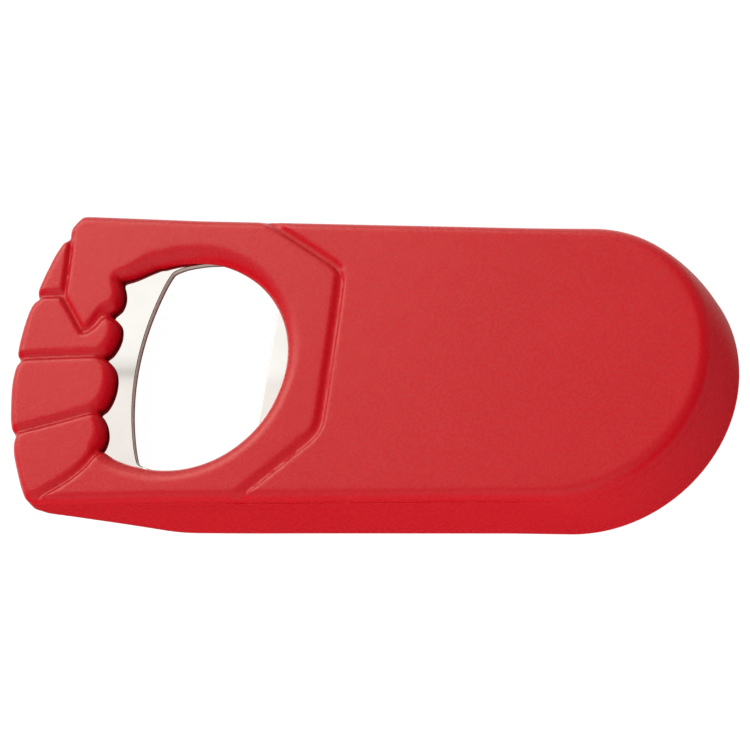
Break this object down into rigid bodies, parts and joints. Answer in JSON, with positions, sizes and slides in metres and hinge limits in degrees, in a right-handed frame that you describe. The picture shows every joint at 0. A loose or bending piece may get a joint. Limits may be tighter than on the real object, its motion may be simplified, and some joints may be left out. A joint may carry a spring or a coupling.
{
  "type": "bottle opener",
  "caption": "Flat lever bottle opener for crown caps: red plastic handle with a fist-shaped head, and a stainless lifting plate in its round opening.",
  "frame": {"origin": "centre of the bounding box, on the flat back face that it lies on", "axes": "+X along the length, from the knuckles to the round handle end; +Z out of the front face; +Y across, so that the thumb side of the fist is at +Y"},
  "size_m": [0.1066, 0.0454, 0.012],
  "materials": {
    "shell_plastic": "matte fine-grained red moulded plastic",
    "plate_steel": "polished stainless sheet",
    "screw_steel": "zinc-plated steel"
  },
  "bodies": {
    "root": {"front_shell": "shell_plastic", "back_shell": "shell_plastic", "lifter_plate": "plate_steel", "screw_cuff_upper": "screw_steel", "screw_cuff_lower": "screw_steel", "screw_end_upper": "screw_steel", "screw_end_lower": "screw_steel"}
  },
  "joints": []
}
